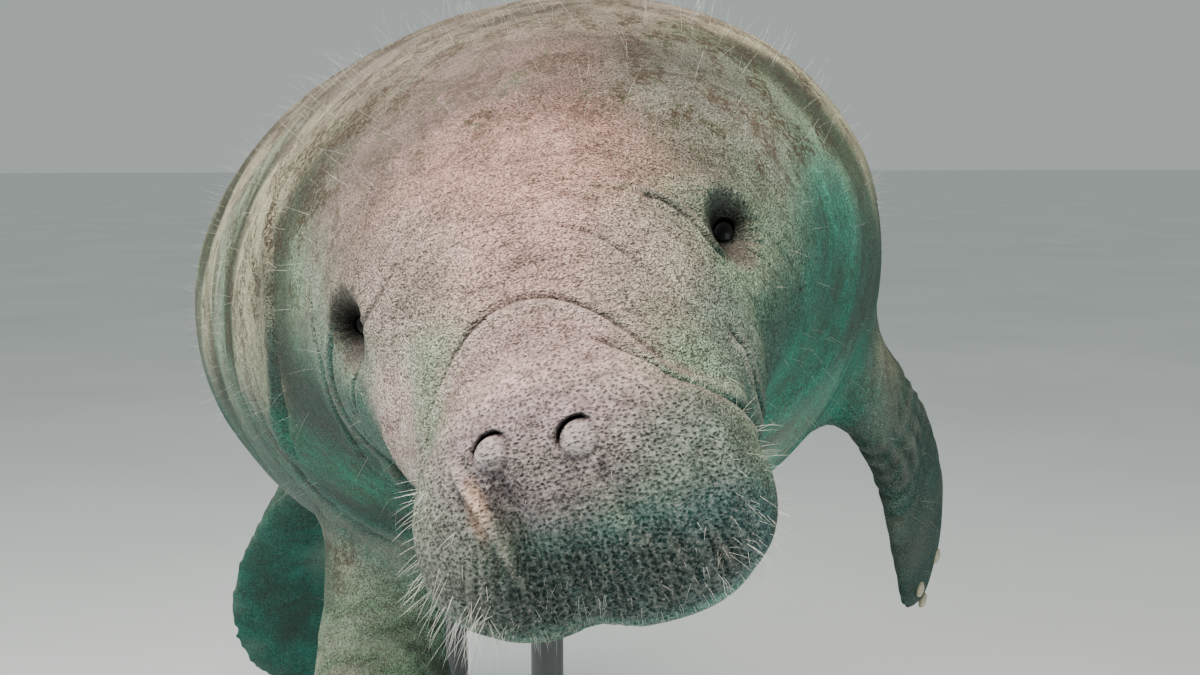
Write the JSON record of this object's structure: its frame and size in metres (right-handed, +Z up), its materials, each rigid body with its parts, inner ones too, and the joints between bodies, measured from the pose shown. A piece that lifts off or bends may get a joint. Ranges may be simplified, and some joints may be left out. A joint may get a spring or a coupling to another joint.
{
  "type": "life-size manatee model on display stand",
  "caption": "Life-size Florida manatee swimming head-on, head turned and body banked, tail paddle lowered, on a flat base with two rods.",
  "frame": {"origin": "centre of the underside of the stand base", "axes": "+X is the animal's left, +Y runs from head to tail, +Z is up"},
  "size_m": [0.7678, 2.2403, 1.2786],
  "materials": {
    "skin": "thick wrinkled hide, pinkish grey-brown, finely pitted, with patches of green-brown algae",
    "skin_underside": "thick wrinkled hide, dark green-grey on the underside, flippers and tail",
    "eye": "wet, near-black eye",
    "nail": "dull horn",
    "bristle": "pale stiff bristles and fine single hairs",
    "stand_metal": "satin dark grey paint"
  },
  "bodies": {
    "root": {"belly": "skin", "chest": "skin", "eye_left": "eye", "eye_right": "eye", "flipper_left": "skin_underside", "flipper_right": "skin_underside", "head": "skin", "lower_jaw": "skin_underside", "muzzle": "skin", "nail_left_1": "nail", "nail_left_2": "nail", "nail_left_3": "nail", "nail_right_1": "nail", "nail_right_2": "nail", "nail_right_3": "nail", "neck": "skin", "nostril_left": "skin", "nostril_right": "skin", "stand_base": "stand_metal", "stand_rod_front": "stand_metal", "stand_rod_rear": "stand_metal", "tail_paddle": "skin_underside", "tail_stock": "skin"}
  },
  "joints": []
}
